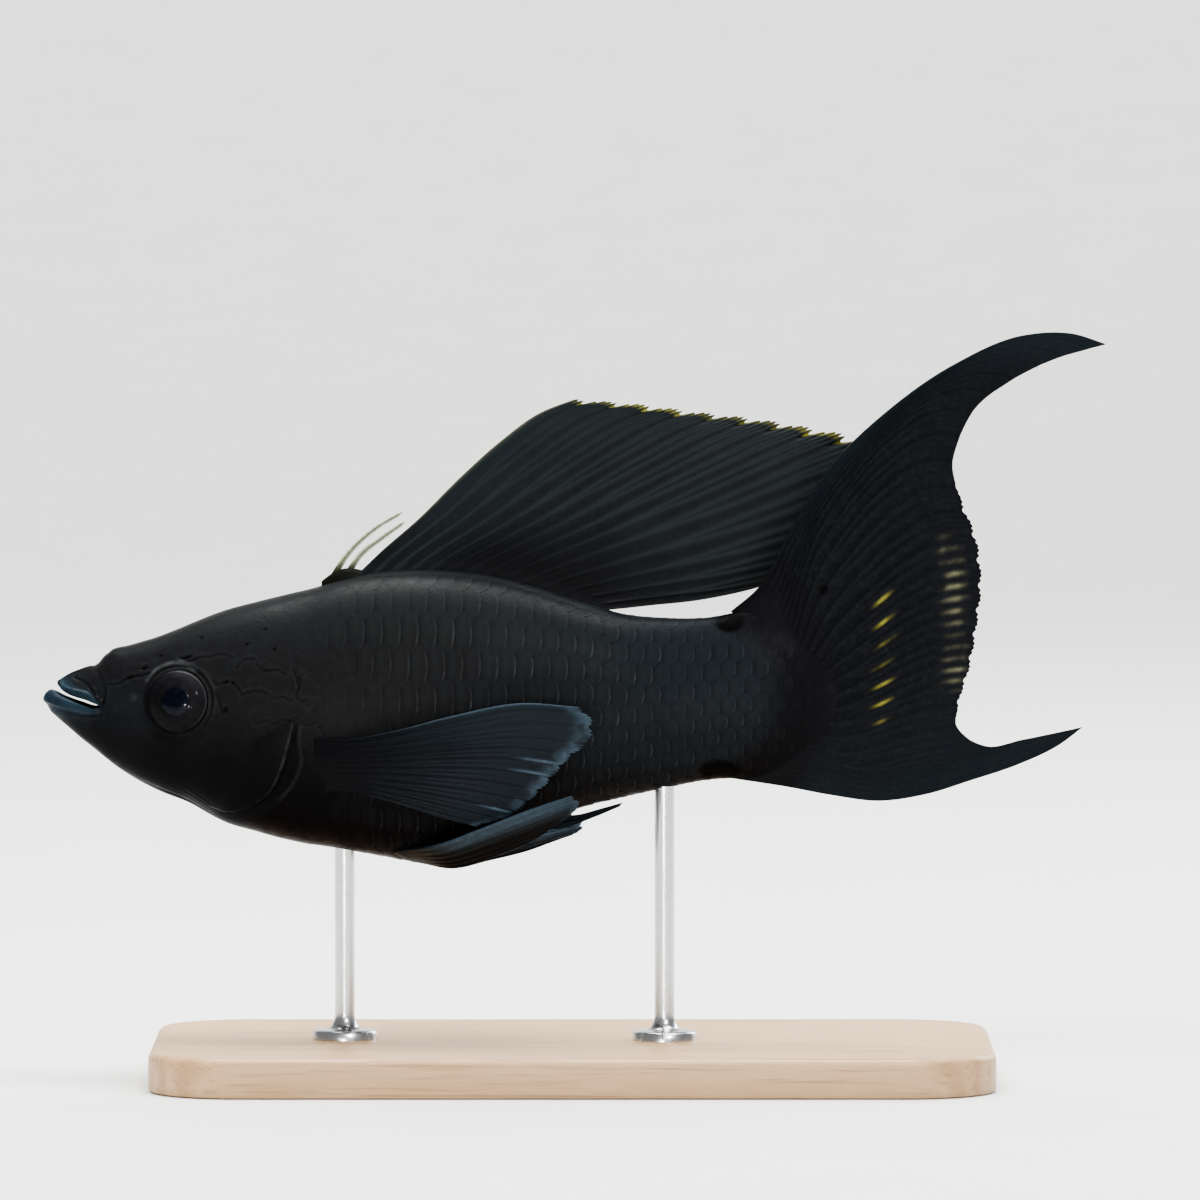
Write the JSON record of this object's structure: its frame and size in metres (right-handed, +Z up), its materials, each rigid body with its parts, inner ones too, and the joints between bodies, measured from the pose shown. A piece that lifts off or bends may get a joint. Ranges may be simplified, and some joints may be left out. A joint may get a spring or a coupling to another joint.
{
  "type": "black molly fish model",
  "caption": "Life-size black lyretail molly swimming level, with a raised dorsal fin, a long curved tail streamer and spread side fins, held on rods above a flat display base.",
  "frame": {"origin": "centre of the model's box at the underside of the display base", "axes": "-X is the way the fish faces, +X runs to its tail, -Y is its left side, +Z is up"},
  "size_m": [0.1059, 0.046, 0.075],
  "materials": {
    "skin": "velvety black scaled skin with a soft satin sheen",
    "fin": "thin black fin membrane over fine rays, satin, yellowish at a few edges",
    "eye": "wet glossy black cornea",
    "stand_wood": "satin oiled wood",
    "stand_steel": "fine brushed steel"
  },
  "bodies": {
    "root": {"head": "skin", "upper_jaw": "skin", "lower_jaw": "skin", "gill_cover_left": "skin", "gill_cover_right": "skin", "torso": "skin", "tail_stem": "skin", "eye_left": "eye", "eye_right": "eye", "dorsal_fin": "fin", "caudal_upper_lobe": "fin", "caudal_fan": "fin", "caudal_lower_lobe": "fin", "pectoral_fin_left": "fin", "pectoral_fin_right": "fin", "pelvic_fin_left": "fin", "pelvic_fin_right": "fin", "anal_fin": "fin", "stand_base": "stand_wood", "stand_rod_front": "stand_steel", "stand_rod_rear": "stand_steel"}
  },
  "joints": []
}
